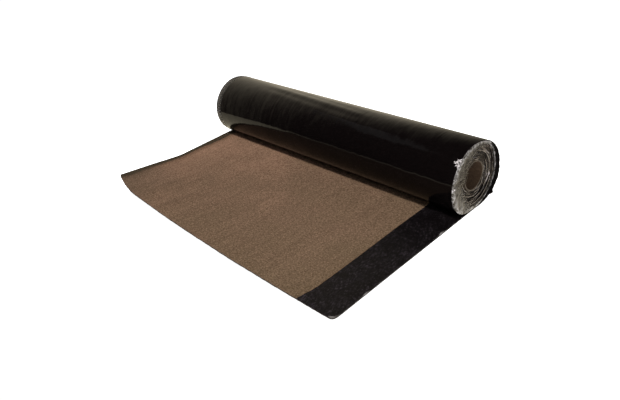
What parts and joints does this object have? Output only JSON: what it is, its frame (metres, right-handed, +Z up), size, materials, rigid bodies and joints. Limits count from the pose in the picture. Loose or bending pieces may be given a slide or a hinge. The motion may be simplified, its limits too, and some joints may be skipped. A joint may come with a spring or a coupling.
{
  "type": "roll of roofing felt",
  "caption": "Part-unrolled roll of mineral roofing felt on a paper tube, with a granule face, a bare black lap strip and a curled loose end.",
  "frame": {"origin": "on the floor, in the middle of the footprint", "axes": "+X along the roll's axis towards the lap edge, -Y along the loose end towards its cut, +Z up"},
  "size_m": [1.01, 0.6608, 0.1958],
  "materials": {
    "bitumen_felt": "satin",
    "paper_tube": "matte"
  },
  "bodies": {
    "root": {"felt_sheet": "bitumen_felt", "core_tube": "paper_tube"}
  },
  "joints": []
}
